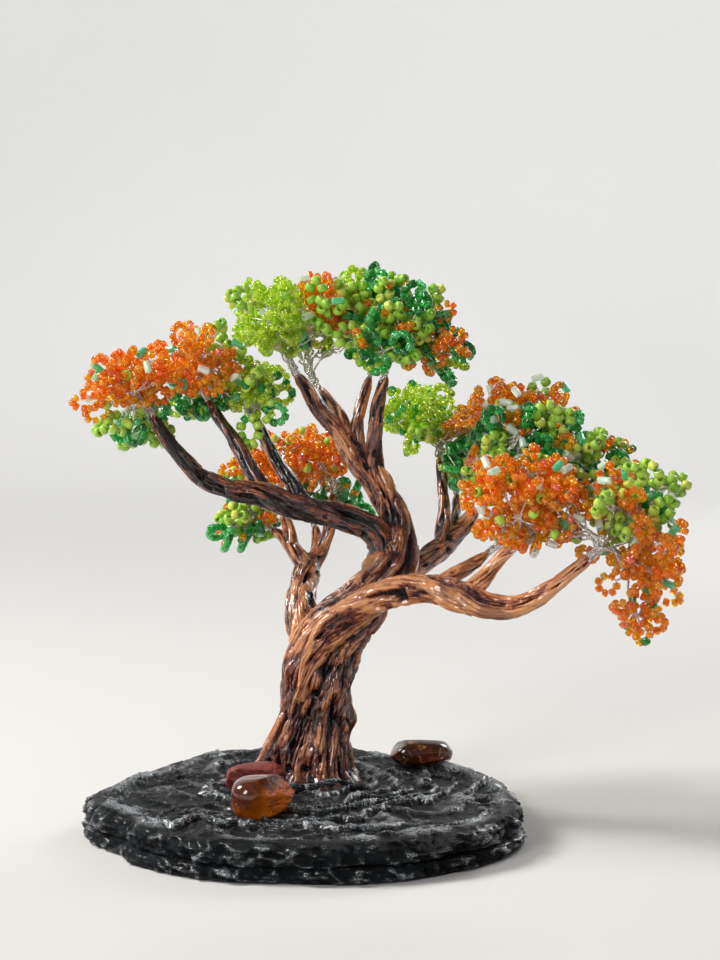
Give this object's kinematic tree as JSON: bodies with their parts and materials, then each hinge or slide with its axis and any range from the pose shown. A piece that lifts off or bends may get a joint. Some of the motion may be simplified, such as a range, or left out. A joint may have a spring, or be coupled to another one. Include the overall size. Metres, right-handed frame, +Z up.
{
  "type": "beaded wire tree",
  "caption": "Ornamental tree of life with a modelled clay trunk, forked limbs and crowns of glass bead loops on twisted wire, on a dark relief slab with amber pebbles.",
  "frame": {"origin": "middle of the slab's flat underside", "axes": "+Z up, +X to the right of the picture along the widest reach of the crowns, +Y away from the viewer"},
  "size_m": [0.1609, 0.1144, 0.1506],
  "materials": {
    "base_black": "matt black relief, dry-brushed with silver grey",
    "bark_clay": "varnished brown clay bark with bronze ridges",
    "core_wire": "drawn wire",
    "sprig_wire": "bright twisted wire",
    "orange_beads": "clear orange glass",
    "olive_beads": "clear olive glass",
    "lime_beads": "opaque lime glass",
    "emerald_beads": "clear emerald glass",
    "tube_beads": "satin mint and white glass tubes",
    "amber_orange": "amber, half polished and half rough",
    "amber_red": "rough dark red amber",
    "amber_brown": "polished dark brown amber"
  },
  "bodies": {
    "root": {"base_slab": "base_black", "base_coat": "base_black", "trunk_bark": "bark_clay", "top_limb_bark": "bark_clay", "left_limb_bark": "bark_clay", "right_limb_bark": "bark_clay", "rear_right_limb_bark": "bark_clay", "rear_left_limb_bark": "bark_clay", "top_twig_1_bark": "bark_clay", "top_twig_2_bark": "bark_clay", "top_twig_3_bark": "bark_clay", "left_twig_1_bark": "bark_clay", "left_twig_2_bark": "bark_clay", "right_twig_1_bark": "bark_clay", "right_twig_2_bark": "bark_clay", "rear_right_twig_1_bark": "bark_clay", "rear_right_twig_2_bark": "bark_clay", "rear_left_twig_1_bark": "bark_clay", "rear_left_twig_2_bark": "bark_clay", "rear_left_twig_3_bark": "bark_clay", "top_core_wires": "core_wire", "left_core_wires": "core_wire", "right_core_wires": "core_wire", "rear_right_core_wires": "core_wire", "rear_left_core_wires": "core_wire", "top_sprig_wires": "sprig_wire", "left_sprig_wires": "sprig_wire", "right_sprig_wires": "sprig_wire", "rear_right_sprig_wires": "sprig_wire", "rear_left_sprig_wires": "sprig_wire", "top_orange_beads": "orange_beads", "top_olive_beads": "olive_beads", "top_lime_beads": "lime_beads", "top_emerald_beads": "emerald_beads", "top_tube_beads": "tube_beads", "left_orange_beads": "orange_beads", "left_olive_beads": "olive_beads", "left_lime_beads": "lime_beads", "left_emerald_beads": "emerald_beads", "left_tube_beads": "tube_beads", "right_orange_beads": "orange_beads", "right_lime_beads": "lime_beads", "right_emerald_beads": "emerald_beads", "right_tube_beads": "tube_beads", "rear_right_orange_beads": "orange_beads", "rear_right_olive_beads": "olive_beads", "rear_right_lime_beads": "lime_beads", "rear_right_emerald_beads": "emerald_beads", "rear_left_orange_beads": "orange_beads", "rear_left_lime_beads": "lime_beads", "rear_left_emerald_beads": "emerald_beads", "stone_front": "amber_orange", "stone_red": "amber_red", "stone_rear": "amber_brown"}
  },
  "joints": []
}
